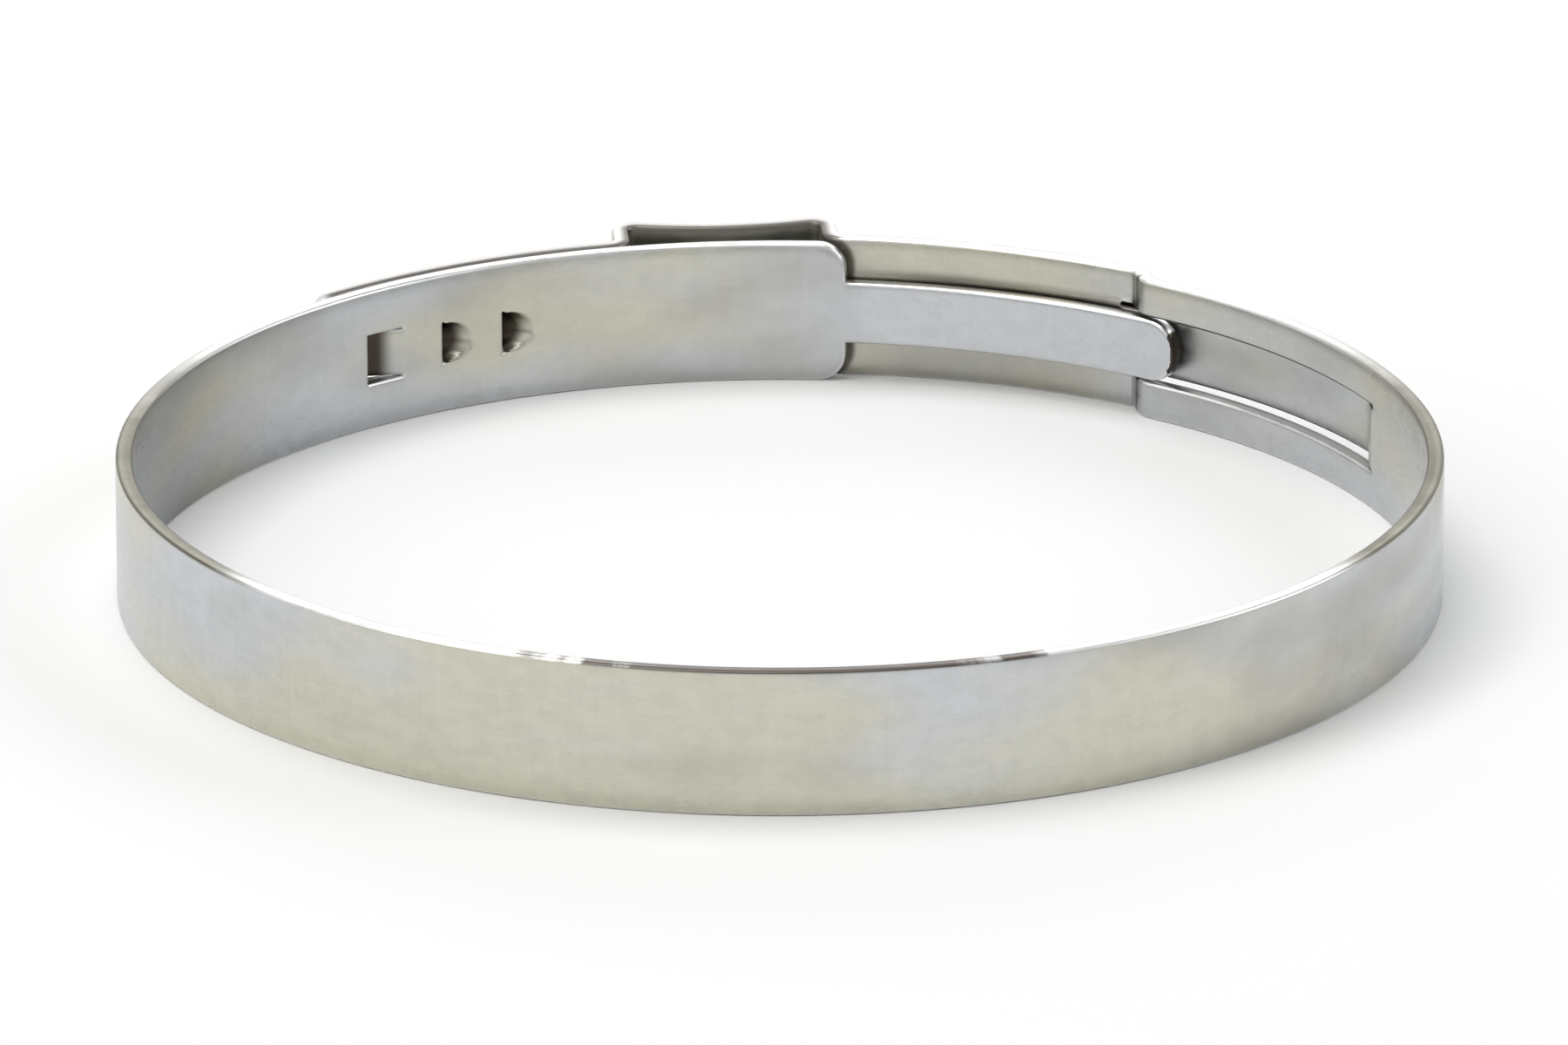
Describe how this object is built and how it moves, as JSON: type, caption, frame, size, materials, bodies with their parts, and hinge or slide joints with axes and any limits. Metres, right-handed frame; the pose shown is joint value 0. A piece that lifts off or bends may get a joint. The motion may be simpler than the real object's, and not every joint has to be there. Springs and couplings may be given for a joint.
{
  "type": "ear hose clamp",
  "caption": "Flat metal band closed into a ring for clamping a hose, with a raised crimp ear, hooks in windows and a tongue that slides in a recessed channel.",
  "frame": {"origin": "on the axis of the ring, in the plane of the lower edge that it stands on", "axes": "+Z along the ring's axis, upwards; +Y from the axis towards the middle of the ear; +X towards the tongue and its channel"},
  "size_m": [0.0626, 0.0659, 0.007],
  "materials": {
    "band_steel": "satin rolled strip with bright sheared edges"
  },
  "bodies": {
    "root": {"clamp_band": "band_steel"}
  },
  "joints": []
}
